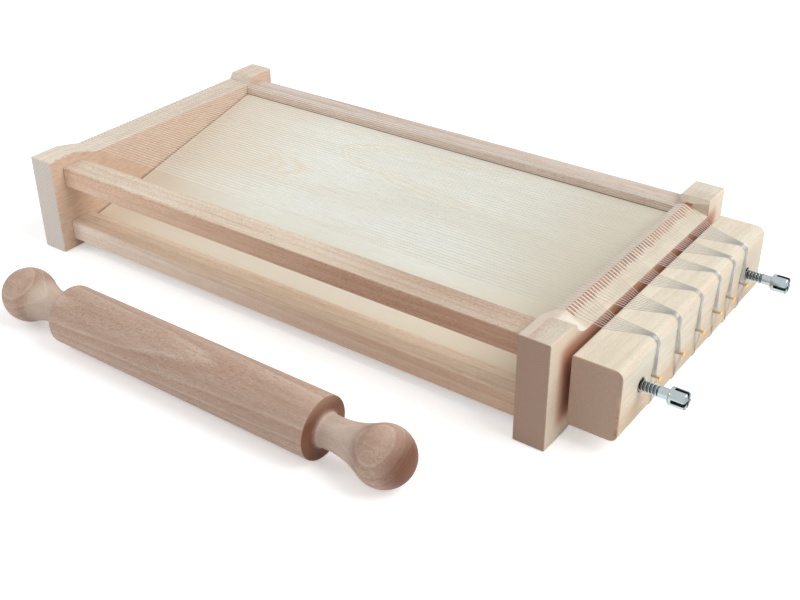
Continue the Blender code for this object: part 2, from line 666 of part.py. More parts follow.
def pin_half_profile():
    """Half of the pin, from the middle out to the tip of its ball, as (along, radius)."""
    face = PIN_BODY_LENGTH / 2
    ball = PIN_BALL_DIAMETER / 2
    ball_x = PIN_BALL_SPACING / 2
    waist = PIN_NECK_DIAMETER / 2
    waist_x = face + PIN_WAIST_FROM_BODY
    reach = ball_x - waist_x
    # the neck's hollow is a circle that touches the ball from outside
    hollow = (reach ** 2 + waist ** 2 - ball ** 2) / (2 * (ball - waist))
    touch = math.atan2(reach, waist + hollow)
    points = [
        (face - PIN_EDGE_ROUND, PIN_RADIUS),
        (face - PIN_EDGE_ROUND * (1 - math.sin(math.pi / 4)),
         PIN_RADIUS - PIN_EDGE_ROUND * (1 - math.sin(math.pi / 4))),
        (face, PIN_RADIUS - PIN_EDGE_ROUND)]
    root_x = face + PIN_FACE_FILLET
    root = waist + hollow - math.sqrt(hollow ** 2 - (waist_x - root_x) ** 2)
    for k in range(SMALL_ROUND_STEPS + 1):
        turn = math.pi / 2 * k / SMALL_ROUND_STEPS
        points.append((
            face + PIN_FACE_FILLET * (1 - math.cos(turn)),
            root + PIN_FACE_FILLET * (1 - math.sin(turn))))
    for k in range(NECK_STEPS + 1):
        turn = touch * k / NECK_STEPS
        points.append((
            waist_x + hollow * math.sin(turn),
            waist + hollow * (1 - math.cos(turn))))
    start = math.pi / 2 + touch
    for k in range(1, BALL_STEPS + 1):
        turn = start * (1 - k / BALL_STEPS)
        points.append((ball_x + ball * math.cos(turn), ball * abs(math.sin(turn))))
    points[-1] = (ball_x + ball, 0)
    return points


half = pin_half_profile()
whole = [(-along, radius) for along, radius in reversed(half)] + half
pin_shape = bmesh.new()
add_turned(pin_shape, whole, PIN_SIDES, (0, 0, 0))
piece(
    "rolling_pin", finished(pin_shape, "rolling_pin", smooth=True), PINK_BEECH,
    (PIN_ALONG, -PIN_DISTANCE, PIN_RADIUS))
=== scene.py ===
"""Photo-like scene of the double-sided pasta cutter and its rolling pin."""

import math

import bmesh
import bpy
from mathutils import Matrix, Vector


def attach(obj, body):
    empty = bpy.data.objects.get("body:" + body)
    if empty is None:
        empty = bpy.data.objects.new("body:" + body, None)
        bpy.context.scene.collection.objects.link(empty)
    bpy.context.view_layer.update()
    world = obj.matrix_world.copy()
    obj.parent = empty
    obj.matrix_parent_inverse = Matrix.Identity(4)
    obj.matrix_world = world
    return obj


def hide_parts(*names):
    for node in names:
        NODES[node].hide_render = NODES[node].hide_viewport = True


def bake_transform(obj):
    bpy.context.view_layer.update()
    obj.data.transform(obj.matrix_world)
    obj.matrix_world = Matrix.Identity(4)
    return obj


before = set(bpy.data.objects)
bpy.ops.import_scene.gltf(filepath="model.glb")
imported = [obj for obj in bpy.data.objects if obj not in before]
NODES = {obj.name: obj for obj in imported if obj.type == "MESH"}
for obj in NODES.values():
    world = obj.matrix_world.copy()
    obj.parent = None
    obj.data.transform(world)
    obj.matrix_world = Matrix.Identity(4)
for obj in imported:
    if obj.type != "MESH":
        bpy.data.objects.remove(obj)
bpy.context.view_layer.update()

# middle of the frame, halfway between the bridges; places are measured from it, in metres
ORIGIN = Vector((-0.02855, 0.0455, 0.0))


# camera
CAMERA_PLACE = Vector((0.4405, -0.5668, 0.4034)) + ORIGIN
CAMERA_AZIMUTH = math.radians(36.11)
CAMERA_ELEVATION = math.radians(31.24)
CAMERA_ROLL = math.radians(-0.47)
CAMERA_LENS = 52.24
SENSOR_WIDTH = 36
NEAREST_SEEN, FARTHEST_SEEN = 0.01, 50

sin_a, cos_a = math.sin(CAMERA_AZIMUTH), math.cos(CAMERA_AZIMUTH)
sin_e, cos_e = math.sin(CAMERA_ELEVATION), math.cos(CAMERA_ELEVATION)
back = Vector((sin_a * cos_e, -cos_a * cos_e, sin_e))
right = Vector((cos_a, sin_a, 0))
up = back.cross(right)
right, up = (
    math.cos(CAMERA_ROLL) * right + math.sin(CAMERA_ROLL) * up,
    math.cos(CAMERA_ROLL) * up - math.sin(CAMERA_ROLL) * right)
camera_data = bpy.data.cameras.new("camera")
camera_data.lens = CAMERA_LENS
camera_data.sensor_width = SENSOR_WIDTH
camera_data.sensor_fit = "HORIZONTAL"
camera_data.clip_start = NEAREST_SEEN
camera_data.clip_end = FARTHEST_SEEN
camera = bpy.data.objects.new("camera", camera_data)
turn = Matrix((right, up, back)).transposed().to_4x4()
camera.matrix_world = Matrix.Translation(CAMERA_PLACE) @ turn
bpy.context.scene.collection.objects.link(camera)
bpy.context.scene.camera = camera


# sizes shared with the CAD
OUTER_X, INNER_X, HALF_Y, HEIGHT = 0.20785, 0.18745, 0.11505, 0.0700
MIDDLE_Z = HEIGHT / 2
CREST_X = 0.19315
KERF_PITCH, KERF_RUN, KERF_FIRST_Y, KERF_COUNT = 0.00311, 0.0060, -0.07115, 52
KERF_LAST_Y = KERF_FIRST_Y + KERF_PITCH * (KERF_COUNT - 1)
KERF_Z = 0.0648
BAR_INNER_X, BAR_OUTER_X = 0.21255, 0.24305
BAR_TOP_Z, BAR_ROUND, BAR_INNER_ROUND = 0.05795, 0.0052, 0.0015
BAR_LENGTH = 0.1987
BOARD_END, RAIL_INNER_Y = 0.18685, 0.08535
PIN_X, PIN_Y, PIN_RADIUS = 0.0103, -0.1870, 0.01905
NAIL_YS = [share * BAR_LENGTH for share in (-0.3095, -0.1525, -0.0091, 0.1183, 0.2214, 0.3251)]
BUNDLE_YS = [share * BAR_LENGTH for share in (-0.2874, -0.1490, 0.0065, 0.1399, 0.2501, 0.3493)]
BAR_NAIL_ZS = (0.0354, 0.0340, 0.0340, 0.0340, 0.0340, 0.0340)
NAIL_RADIUS, NAIL_SHOWING = 0.00065, 0.0054
WIRE_RADIUS, WIRE_SEAT = 0.00015, 0.0003
SCREW_PLACES = ((-0.07515, 0.0370), (0.07515, 0.0355))
THREAD_PITCH, THREAD_CREST, THREAD_ROOT = 0.0020, 0.0036, 0.0027
THREAD_START_X, THREAD_END_X = OUTER_X + 0.0003, BAR_OUTER_X + 0.0111
SCREW_NECK_LENGTH, SCREW_NECK, SCREW_HEAD, HEAD_LENGTH = 0.0060, 0.0032, 0.0054, 0.0102
HEAD_START_X = THREAD_END_X + SCREW_NECK_LENGTH
HEAD_END_X = HEAD_START_X + HEAD_LENGTH


# node helpers
class Graph:
    """Short hand for building a material's nodes."""

    def __init__(self, name):
        self.material = bpy.data.materials.new(name)
        self.material.use_nodes = True
        self.tree = self.material.node_tree
        self.shader = self.tree.nodes["Principled BSDF"]

    def node(self, kind, inputs=None, **settings):
        made = self.tree.nodes.new(kind)
        for key, value in settings.items():
            setattr(made, key, value)
        for key, value in (inputs or {}).items():
            socket = made.inputs[key]
            if isinstance(value, bpy.types.NodeSocket):
                self.tree.links.new(value, socket)
            else:
                socket.default_value = value
        return made

    def math(self, operation, first, second=0.0):
        return self.node("ShaderNodeMath", {0: first, 1: second}, operation=operation).outputs[0]

    def add(self, first, second):
        return self.math("ADD", first, second)

    def minus(self, first, second):
        return self.math("SUBTRACT", first, second)

    def over(self, first, second):
        return self.math("DIVIDE", first, second)

    def times(self, first, *others):
        for other in others:
            first = self.math("MULTIPLY", first, other)
        return first

    def apart(self, value, centre):
        """Distance of a value from a centre, to either side."""
        return self.math("ABSOLUTE", self.minus(value, centre))

    def vector(self, operation, first, second=(0, 0, 0)):
        made = self.node("ShaderNodeVectorMath", {0: first, 1: second}, operation=operation)
        return made.outputs["Value" if operation in ("LENGTH", "DOT_PRODUCT") else "Vector"]

    def range(self, value, low, high, start=0.0, end=1.0):
        """Soft step from start at low to end at high."""
        return self.node(
            "ShaderNodeMapRange",
            {"Value": value, "From Min": low, "From Max": high, "To Min": start, "To Max": end},
            interpolation_type="SMOOTHSTEP").outputs[0]

    def range_x(self, x, low, high, start=0.0, end=1.0):
        """Soft step between two places along X, measured from the middle of the frame."""
        return self.range(x, low + ORIGIN.x, high + ORIGIN.x, start, end)

    def range_y(self, y, low, high, start=0.0, end=1.0):
        """Soft step between two places along Y, measured from the middle of the frame."""
        return self.range(y, low + ORIGIN.y, high + ORIGIN.y, start, end)

    def noise(self, vector, scale, detail=2.0, rough=0.5, distort=0.0):
        return self.node(
            "ShaderNodeTexNoise",
            {"Vector": vector, "Scale": scale, "Detail": detail, "Roughness": rough,
             "Distortion": distort}).outputs["Fac"]

    def long_noise(self, vector, scales, *settings):
        """Noise with its own scale along each axis."""
        return self.noise(self.vector("MULTIPLY", vector, scales), 1.0, *settings)

    def mix(self, factor, first, second, blend="MIX"):
        made = self.node(
            "ShaderNodeMix", {0: factor, 6: first, 7: second}, data_type="RGBA", blend_type=blend)
        return made.outputs[2]

    def lay(self, colour, mask, share, tone):
        """Colour with a share of a tone laid over it where the mask is one."""
        return self.mix(self.times(mask, share), colour, tone)

    def tint(self, colour, mask, share, tone):
        """Colour multiplied by a share of a tone where the mask is one."""
        return self.mix(self.times(mask, share), colour, tone, "MULTIPLY")

    def axes(self, vector):
        return self.node("ShaderNodeSeparateXYZ", {0: vector}).outputs

    def normal(self):
        return self.node("ShaderNodeTexCoord").outputs["Normal"]

    def link(self, value, socket):
        self.tree.links.new(value, self.shader.inputs[socket])

    def bump(self, height, strength, distance):
        inputs = {"Height": height, "Strength": strength, "Distance": distance}
        return self.node("ShaderNodeBump", inputs).outputs[0]


def rgb(red, green, blue):
    return (red, green, blue, 1.0)


def from_centre(x, y, z):
    """A place that is measured from the middle of the frame, in the scene's own frame."""
    return (x + ORIGIN.x, y + ORIGIN.y, z)


# woods
ALONG_X, ALONG_Y = 0, 1
LATE_TINT, STREAK_TINT, MOTTLE_TINT = rgb(0.74, 0.60, 0.50), rgb(0.80, 0.70, 0.62), rgb(0.86, 0.78, 0.72)
FIBRE_TINT, FLECK_TINT, PALE_FLECK = rgb(0.82, 0.74, 0.68), rgb(0.60, 0.44, 0.36), rgb(0.90, 0.82, 0.73)
SILK_SHIFT = (9.1, 4.7, 2.3)
END_SHADE = (0.74, 0.64, 0.58)
GRAIN_DEPTH = 0.00012


def wood(name, grain, centre, light, dark, end, ring=0.0042, lean=(0, 0, 0), lines=0.22,
         streak=0.30, fleck=0.5, end_ring=0.0016, end_lines=0.30, end_from=0.72, rough=0.56, seed=0.0,
         extra=None):
    """Beech or birch, between a light and a dark tone, with another tone for its end grain.

    The fibres follow the grain axis. The rings go round a line through the centre that leans
    by so much per metre along the grain. Streaks, short dark flecks and a finer end grain
    follow, and extra adds the marks of one piece.
    """
    g = Graph(name)
    coordinates = g.node("ShaderNodeTexCoord").outputs
    place = coordinates["Object"]
    along = [0, 0, 0]
    along[grain] = 1
    across = [1 - value for value in along]
    moved = g.vector("SUBTRACT", place, centre)
    seeded = g.vector("ADD", moved, (seed, seed * 0.7, seed * 1.3))

    def stretched(slow, fast):
        """The place, with features long along the grain and narrow across it."""
        return g.vector("MULTIPLY", seeded, [slow * a + fast * c for a, c in zip(along, across)])

    run = g.axes(moved)[grain]
    leaned = g.node("ShaderNodeVectorMath", {0: lean, "Scale": run}, operation="SCALE").outputs[0]
    radius = g.vector("LENGTH", g.vector("SUBTRACT", g.vector("MULTIPLY", moved, across), leaned))
    waver = g.noise(stretched(6, 26), 1.0, 2.0)
    saw = g.math("FRACT", g.add(g.over(radius, ring), waver))
    late = g.times(g.range(saw, 0.40, 0.95), g.range(saw, 1.0, 0.95))
    early = g.times(g.range(saw, 0.0, 0.08), g.range(saw, 0.30, 0.08))
    # tone: slow change, rings, streaks, mottling, fibres
    broad = g.range(g.noise(stretched(5, 34), 1.0, 2.0), 0.32, 0.68)
    colour = g.mix(broad, light, dark)
    colour = g.tint(colour, late, lines, LATE_TINT)
    colour = g.lay(colour, early, lines * 0.5, PALE_FLECK)
    streaks = g.range(g.noise(stretched(7, 330), 1.0, 4.0, 0.6), 0.42, 0.66)
    colour = g.tint(colour, streaks, streak, STREAK_TINT)
    mottle = g.range(g.noise(stretched(70, 460), 1.0, 2.0), 0.40, 0.64)
    colour = g.tint(colour, mottle, 0.08 + streak * 0.7, MOTTLE_TINT)
    fibre = g.noise(stretched(80, 2400), 1.0, 2.0)
    colour = g.tint(colour, g.range(fibre, 0.45, 0.70), 0.15 + streak * 0.6, FIBRE_TINT)
    # flecks: short dark dashes, and a few pale ones
    dense = g.range(g.noise(stretched(11, 70), 1.0, 1.0), 0.30, 0.62, 0.35, 1.0)
    dash = g.times(g.range(g.noise(stretched(460, 2300), 1.0, 0.0), 0.57, 0.68), dense)
    colour = g.tint(colour, dash, fleck, FLECK_TINT)
    silk = g.noise(g.vector("ADD", stretched(300, 2100), SILK_SHIFT), 1.0, 0.0)
    colour = g.lay(colour, g.range(silk, 0.62, 0.78), fleck * 0.25, PALE_FLECK)
    # end grain: uneven rings and grit
    facing = g.math("ABSOLUTE", g.vector("DOT_PRODUCT", coordinates["Normal"], along))
    ended = g.range(facing, end_from, 0.96)
    uneven = g.times(g.noise(moved, 75.0, 2.0), 2.4)
    end_saw = g.math("FRACT", g.add(g.over(radius, end_ring), uneven))
    end_late = g.times(g.range(end_saw, 0.30, 0.90), g.range(end_saw, 1.0, 0.92))
    grit = g.range(g.noise(moved, 2300.0, 2.0), 0.42, 0.62)
    shade = rgb(*[value * part for value, part in zip(end, END_SHADE)])
    end_tone = g.lay(end, end_late, end_lines, shade)
    end_tone = g.lay(end_tone, grit, 0.22, shade)
    colour = g.mix(ended, colour, end_tone)
    if extra:
        colour = extra(g, place, colour)
    g.link(colour, "Base Color")
    g.link(g.add(g.times(fibre, 0.16), rough - 0.08), "Roughness")
    relief = g.minus(fibre, g.times(dash, 0.6))
    relief = g.minus(relief, g.times(grit, ended, 0.4))
    g.link(g.bump(relief, 0.35, GRAIN_DEPTH), "Normal")
    g.shader.inputs["Specular IOR Level"].default_value = 0.30
    return g.material


def from_screw(g, place, number):
    """Distance from the axis of a tension screw."""
    away = g.vector("SUBTRACT", place, from_centre(0, *SCREW_PLACES[number]))
    return g.vector("LENGTH", g.vector("MULTIPLY", away, (0, 1, 1)))


def ridge_marks(g, place, colour):
    """Right bridge: kerfs dark from scorching and painted shade, a cream bevel, a painted highlight on
    the near stop, painted light on the far stop's wall and far ear, and painted shade on the inner strip
    and where the outer face reddens into the gap.
    """
    x, y, z = g.axes(place)
    upper = g.math("GREATER_THAN", z, MIDDLE_Z)
    height, aside = g.apart(z, MIDDLE_Z), g.apart(y, ORIGIN.y)
    # the bevel lies outside the crest, in a band along the top and another along the foot
    band = g.range(height, 0.0185, 0.0200)
    past_crest = g.range_x(x, CREST_X - 0.0002, CREST_X + 0.0002)
    outside = g.range_x(x, OUTER_X - 0.0003, OUTER_X - 0.0001)
    bevel = g.times(past_crest, band, g.minus(1.0, outside))
    between_ends = g.math("LESS_THAN", aside, HALF_Y - 0.0006)
    soft = g.range(g.long_noise(place, (160, 30, 160), 3.0), 0.3, 0.7)
    cream = g.mix(soft, rgb(0.72, 0.65, 0.52), rgb(0.64, 0.55, 0.42))
    far_limit = g.range_y(y, KERF_LAST_Y + 0.0045, KERF_LAST_Y + 0.0025)
    near_limit = g.range_y(y, KERF_FIRST_Y - 0.0180, KERF_FIRST_Y - 0.0160)
    colour = g.lay(colour, g.times(bevel, far_limit, near_limit), 0.8, cream)
    # the near stop, a pale hollow: its paleness is a painted highlight
    stop = g.times(
        g.range_y(y, KERF_FIRST_Y - 0.0170, KERF_FIRST_Y - 0.0160),
        g.range_y(y, KERF_FIRST_Y - 0.0010, KERF_FIRST_Y - 0.0050),
        g.range_x(x, CREST_X + 0.0006, CREST_X + 0.0042))
    colour = g.lay(colour, g.times(bevel, stop), 0.8, rgb(0.80, 0.75, 0.65))
    # painted light: the far stop's wall, a face in shade, laid over with cream, and the far ear paler,
    # its outer face most
    wall_painted_light = g.times(
        bevel, g.range_y(y, KERF_LAST_Y + 0.0030, KERF_LAST_Y + 0.0050), between_ends,
        g.range(height, 0.0349, 0.0346))
    colour = g.lay(colour, wall_painted_light, 0.8, rgb(0.96, 0.86, 0.74))
    far_ear_painted_light = g.times(g.range_y(y, HALF_Y - 0.016, HALF_Y - 0.010), g.range(z, 0.048, 0.062))
    colour = g.mix(far_ear_painted_light, colour, rgb(1.10, 1.20, 1.24), "MULTIPLY")
    colour = g.mix(g.times(far_ear_painted_light, outside), colour, rgb(1.35, 1.40, 1.55), "MULTIPLY")
    # inner strip of the band: greyer, a painted shade
    strip_shade = g.times(g.minus(1.0, past_crest), band, between_ends)
    colour = g.lay(colour, strip_shade, 0.45, rgb(0.70, 0.62, 0.53))
    # kerfs: every one above, every second one below, of uneven lengths and darkest in the middle; their
    # dark is scorching and painted shade in the cuts
    turns = g.over(g.minus(y, KERF_FIRST_Y + ORIGIN.y), KERF_PITCH)
    turns = g.times(turns, g.add(0.5, g.times(upper, 0.5)))
    off = g.apart(g.math("FRACT", g.add(turns, 0.5)), 0.5)
    half = g.add(0.15, g.times(upper, 0.17))
    stripe = g.range(off, g.times(half, 1.25), g.times(half, 0.75))
    comb = g.times(
        g.range_y(y, KERF_FIRST_Y - 0.0022, KERF_FIRST_Y - 0.0018),
        g.range_y(y, KERF_LAST_Y + 0.0012, KERF_LAST_Y + 0.0008))
    length = g.long_noise(place, (0, 130, 0), 2.0)
    crest = CREST_X + ORIGIN.x
    reach = g.range(length, 0.3, 0.7, crest + 0.0046, crest + 0.0074)
    run = g.times(g.range_x(x, CREST_X - 0.0012, CREST_X - 0.0003),
                  g.range(x, reach, g.minus(reach, 0.0030)))
    marks = g.times(run, comb, band)
    colour = g.lay(colour, marks, 0.35, rgb(0.88, 0.79, 0.67))
    burn = g.range(g.long_noise(place, (0, 150, 0), 3.0), 0.40, 0.62)
    middle = g.range(g.apart(y, ORIGIN.y + 0.004), 0.040, 0.012, 0.25, 1.0)
    burn_and_shade = g.mix(g.times(burn, middle), rgb(0.48, 0.20, 0.11), rgb(0.09, 0.018, 0.008))
    colour = g.lay(colour, g.times(marks, stripe), 0.92, burn_and_shade)
    # outer face: cream where it is open, red brown where it faces the bar, a painted shade of the gap
    gap_shade = g.times(g.range(height, 0.0300, 0.0200), g.range(aside, 0.1075, 0.0985))
    facing = g.mix(gap_shade, rgb(0.72, 0.60, 0.47), rgb(0.50, 0.22, 0.13))
    return g.lay(colour, g.times(outside, between_ends), 0.85, facing)


def torn_arris(g, place, colour):
    """Left bridge: the near ear's inner arris is torn and brown; the inner face is warmer and darker, a
    painted shade with warm bounce light.
    """
    x, y, z = g.axes(place)
    edge = ORIGIN.x - INNER_X
    rag = g.noise(place, 420.0, 3.0, 0.65)
    near_edge = g.range(g.minus(edge, x), g.times(rag, 0.0046), g.times(rag, 0.0016))
    on_ear = g.times(g.range_y(y, -0.112, -0.108), g.range_y(y, -0.074, -0.082))
    torn = g.times(near_edge, g.range(z, 0.0640, 0.0660), on_ear)
    torn_tone = g.mix(g.range(rag, 0.45, 0.6), rgb(0.72, 0.54, 0.38), rgb(0.44, 0.22, 0.12))
    colour = g.lay(colour, torn, 0.8, torn_tone)
    # painted shade: the inner face between the rails gets a warm, darker tone
    inside = g.range(x, edge - 0.0003, edge - 0.0001)
    hatch = g.long_noise(place, (0, 110, 950), 3.0, 0.6, 0.5)
    warm_shade = g.mix(g.range(hatch, 0.38, 0.66), rgb(0.71, 0.52, 0.39), rgb(0.62, 0.41, 0.29))
    return g.lay(colour, inside, 0.85, warm_shade)


def bar_marks(g, place, colour):
    """Tension bar: tiny pores on top, long pink streaks on the face, a tan rim round each end, and
    painted shade in the screw bores and on the inner face.
    """
    x, y, z = g.axes(place)
    face = g.range_x(x, BAR_OUTER_X - 0.0030, BAR_OUTER_X - 0.0004)
    drawn = g.long_noise(place, (0, 6.5, 150), 3.0, 0.6, 0.6)
    vein = g.times(g.range(drawn, 0.50, 0.60), g.range(drawn, 0.70, 0.62))
    colour = g.lay(colour, g.times(vein, face), 0.55, rgb(0.80, 0.52, 0.36))
    colour = g.mix(face, colour, rgb(0.91, 0.92, 0.92), "MULTIPLY")
    low = g.times(g.range(z, 0.0420, 0.0120), face)
    colour = g.mix(low, colour, rgb(0.82, 0.71, 0.59), "MULTIPLY")
    pores = g.range(g.long_noise(place, (900, 420, 900), 1.0), 0.66, 0.74)
    colour = g.lay(colour, pores, 0.35, rgb(0.60, 0.46, 0.34))
    # painted shade: dark bores round the screws, and a reddish dark inner face in the gap by the bridge
    away = g.math("MINIMUM", from_screw(g, place, 0), from_screw(g, place, 1))
    bore_shade = g.times(g.range(away, 0.0050, 0.0041), face)
    colour = g.lay(colour, bore_shade, 0.85, rgb(0.16, 0.075, 0.045))
    inner_face_shade = g.range_x(x, BAR_INNER_X + 0.0006, BAR_INNER_X + 0.0002)
    colour = g.lay(colour, inner_face_shade, 0.85, rgb(0.50, 0.24, 0.15))
    ends = g.range(g.apart(y, ORIGIN.y), BAR_LENGTH / 2 - 0.0002, BAR_LENGTH / 2 - 0.0001)
    rim = g.math(
        "MAXIMUM", g.range(z, BAR_TOP_Z - 0.0012, BAR_TOP_Z - 0.0003),
        g.range_x(x, BAR_OUTER_X - 0.0010, BAR_OUTER_X - 0.0002))
    return g.lay(colour, g.times(ends, rim), 0.7, rgb(0.72, 0.50, 0.34))


def rail_painted_light(top, left, right, top_right=None):
    """Rail: painted light: tints for its upper face and for its front, each changing from left to right,
    that stand in for lit tops, shaded fronts and light falling off along it.
    """
    def extra(g, place, colour):
        x = g.axes(place)[0]
        normal = g.axes(g.normal())
        front = g.range(normal[1], -0.35, -0.75)
        over = g.range(normal[2], 0.55, 0.85)
        front_painted_light = g.mix(g.range_x(x, -0.17, 0.17), rgb(*left), rgb(*right))
        top_painted_light = g.mix(g.range_x(x, 0.0, 0.13), rgb(*top), rgb(*(top_right or top)))
        colour = g.mix(front, colour, front_painted_light, "MULTIPLY")
        return g.mix(over, colour, top_painted_light, "MULTIPLY")
    return extra


def pin_tones(g, place, colour):
    """Rolling pin: pale necks, and faces and balls that are tan above and dark below, a painted light
    and shade.
    """
    z = g.axes(place)[2]
    turned = g.math("ABSOLUTE", g.axes(g.normal())[0])
    away = g.vector("SUBTRACT", place, from_centre(0, PIN_Y, PIN_RADIUS))
    away = g.vector("LENGTH", g.vector("MULTIPLY", away, (0, 1, 1)))
    neck = g.times(g.range(away, 0.0150, 0.0115), g.range(turned, 0.60, 0.35))
    colour = g.lay(colour, neck, 0.50, rgb(0.64, 0.53, 0.44))
    # painted light and shade: end faces and balls tan high up, dark low down
    upper = g.times(g.range(turned, 0.35, 0.85), g.range(z, 0.0270, 0.0390))
    colour = g.lay(colour, upper, 0.50, rgb(0.46, 0.31, 0.21))
    lower = g.times(g.range(turned, 0.85, 0.97), g.range(z, 0.0310, 0.0170))
    return g.lay(colour, lower, 0.70, rgb(0.19, 0.080, 0.045))


def board_clouds(g, place, colour):
    """Board: tanner ends, a white middle, a tanner near part that is painted shade, a few long tan lines
    and dark joints with the frame.
    """
    x, y = g.axes(place)[:2]
    colour = g.lay(colour, g.range_x(x, -0.06, -0.17), 0.7, rgb(0.74, 0.63, 0.49))
    colour = g.lay(colour, g.range_x(x, 0.06, 0.18), 0.9, rgb(0.67, 0.61, 0.48))
    # painted shade: the near part, in the shade of the front rails, tanner
    colour = g.lay(colour, g.range_y(y, -0.015, -0.075), 0.6, rgb(0.82, 0.71, 0.55))
    joint = g.math(
        "MAXIMUM", g.range_x(x, 0.0009 - BOARD_END, 0.0006 - BOARD_END),
        g.range_y(y, RAIL_INNER_Y - 0.0008, RAIL_INNER_Y - 0.0005))
    wave = g.times(g.minus(g.noise(place, 26.0, 2.0), 0.5), 0.012)
    x = g.add(g.minus(x, ORIGIN.x), g.times(wave, 2.0))
    y = g.add(g.minus(y, ORIGIN.y), wave)
    # a long oval at the left, pointing right
    oval = g.vector("LENGTH", g.node("ShaderNodeCombineXYZ", {
        0: g.over(g.add(x, 0.152), 0.058), 1: g.over(g.minus(y, 0.021), 0.012)}).outputs[0])
    first = rings_at(g, oval, 0.26, 0.045)
    # an open curve in the middle, a parabola that points left
    narrow = 230.0
    across = g.times(g.minus(y, 0.056), narrow)
    bend = g.minus(g.add(x, 0.064), g.over(g.times(across, across), narrow))
    slope = g.math("SQRT", g.add(1.0, g.times(across, across, 4.0)))
    curve = g.over(g.add(g.over(bend, slope), 0.0020), 0.0040)
    second = g.times(rings_at(g, curve, 1.0, 0.14), g.range(x, 0.10, 0.03))
    colour = g.lay(colour, g.math("MAXIMUM", first, second), 0.60, rgb(0.80, 0.68, 0.50))
    return g.lay(colour, joint, 0.85, rgb(0.26, 0.16, 0.10))


def rings_at(g, value, step, width):
    """Three thin soft lines: where the value is one, and a step to either side of it."""
    phase = g.over(g.minus(value, 1.0), step)
    saw = g.apart(g.math("FRACT", g.add(phase, 0.5)), 0.5)
    close = g.range(g.math("ABSOLUTE", phase), 1.6, 1.4)
    return g.times(g.range(saw, width * 2.2 / step, width * 0.4 / step), close)


def dress(name, material):
    """Give a CAD node its material."""
    for slot in NODES[name].material_slots:
        slot.material = material


RAIL_END = rgb(0.4, 0.28, 0.2)
LEFT = wood(
    "left_beech", ALONG_Y, from_centre(-0.120, 0, -0.020), rgb(0.84, 0.77, 0.65),
    rgb(0.77, 0.66, 0.54), rgb(0.72, 0.665, 0.61), ring=0.0050, lean=(0.03, 0, 0.02),
    end_ring=0.0020, end_lines=0.34, fleck=0.35, seed=0.3, extra=torn_arris)
RIGHT = wood(
    "right_beech", ALONG_Y, from_centre(0.215, 0, 0.420), rgb(0.63, 0.56, 0.46),
    rgb(0.56, 0.46, 0.36), rgb(0.395, 0.27, 0.205), ring=0.0052, lean=(0.05, 0, 0.02),
    end_ring=0.0017, end_lines=0.20, fleck=0.40, seed=1.7, extra=ridge_marks)
UPPER_FRONT = wood(
    "front_rail_beech", ALONG_X, from_centre(0, -0.150, 0.110), rgb(0.76, 0.60, 0.47),
    rgb(0.66, 0.47, 0.35), RAIL_END, ring=0.0046, lean=(0, 0.02, 0.03), fleck=0.55, seed=2.9,
    extra=rail_painted_light((1.10, 1.28, 1.36), (1.18, 1.14, 1.12), (0.70, 0.56, 0.50), (0.80, 0.83, 0.85)))
UPPER_BACK = wood(
    "back_rail_beech", ALONG_X, from_centre(0, 0.120, 0.020), rgb(0.71, 0.62, 0.54),
    rgb(0.61, 0.50, 0.42), RAIL_END, lean=(0, 0.02, 0.02), streak=0.45, fleck=0.45, seed=4.1,
    extra=rail_painted_light((1.0, 1.02, 1.04), (1.16, 1.10, 1.04), (1.08, 1.02, 0.98)))
LOWER = wood(
    "lower_rail_beech", ALONG_X, from_centre(0, -0.180, 0.060), rgb(0.79, 0.66, 0.54),
    rgb(0.72, 0.57, 0.45), RAIL_END, ring=0.0060, lean=(0, 0.02, 0.02), fleck=0.30, seed=5.3,
    extra=rail_painted_light((1.08, 1.08, 1.04), (1.18, 1.26, 1.34), (0.86, 0.76, 0.69)))
BAR = wood(
    "bar_beech", ALONG_Y, from_centre(0.520, 0, 0.080), rgb(0.78, 0.735, 0.61),
    rgb(0.72, 0.65, 0.52), rgb(0.45, 0.32, 0.245), ring=0.0080, lean=(0.02, 0, 0.03), lines=0.12,
    streak=0.20, end_ring=0.0015, end_lines=0.16, fleck=0.18, seed=6.7, extra=bar_marks)
# the pin's dark end-grain tone is end grain and partly painted shade
PIN = wood(
    "pin_beech", ALONG_X, from_centre(0.01, -0.172, -0.009), rgb(0.55, 0.405, 0.32),
    rgb(0.475, 0.335, 0.262), rgb(0.180, 0.075, 0.042), ring=0.0040, lean=(0, -0.014, 0.026),
    lines=0.30, end_ring=0.0024, end_lines=0.55, end_from=0.20, seed=8.9, extra=pin_tones)
PLY = wood(
    "board_birch", ALONG_X, from_centre(-0.03, 0.10, -0.560), rgb(0.845, 0.87, 0.80),
    rgb(0.81, 0.81, 0.715), rgb(0.6, 0.48, 0.36), ring=0.0055, lean=(0, 0, 0.004), lines=0.12,
    streak=0.10, fleck=0.05, rough=0.52, extra=board_clouds)
dress("left_bridge", LEFT)
dress("right_bridge", RIGHT)
dress("upper_front_rail", UPPER_FRONT)
dress("upper_back_rail", UPPER_BACK)
dress("lower_front_rail", LOWER)
dress("lower_back_rail", LOWER)
dress("tension_bar", BAR)
dress("board", PLY)
dress("rolling_pin", PIN)


# metals
SCRATCH_SCALE, SCRATCH_STRENGTH, SCRATCH_DEPTH = 900.0, 0.08, 0.00005


def metal(name, tone, rough, extra=None):
    """Bare metal, a little uneven in tone and gloss; extra adds the marks of one piece."""
    g = Graph(name)
    place = g.node("ShaderNodeTexCoord").outputs["Object"]
    cloud = g.noise(place, SCRATCH_SCALE, 3.0)
    colour = g.mix(cloud, rgb(*[value * 0.88 for value in tone]), rgb(*tone))
    if extra:
        colour = extra(g, place, colour)
    g.link(colour, "Base Color")
    g.shader.inputs["Metallic"].default_value = 1.0
    g.link(g.range(cloud, 0.3, 0.7, rough - 0.05, rough + 0.07), "Roughness")
    g.link(g.bump(cloud, SCRATCH_STRENGTH, SCRATCH_DEPTH), "Normal")
    return g.material


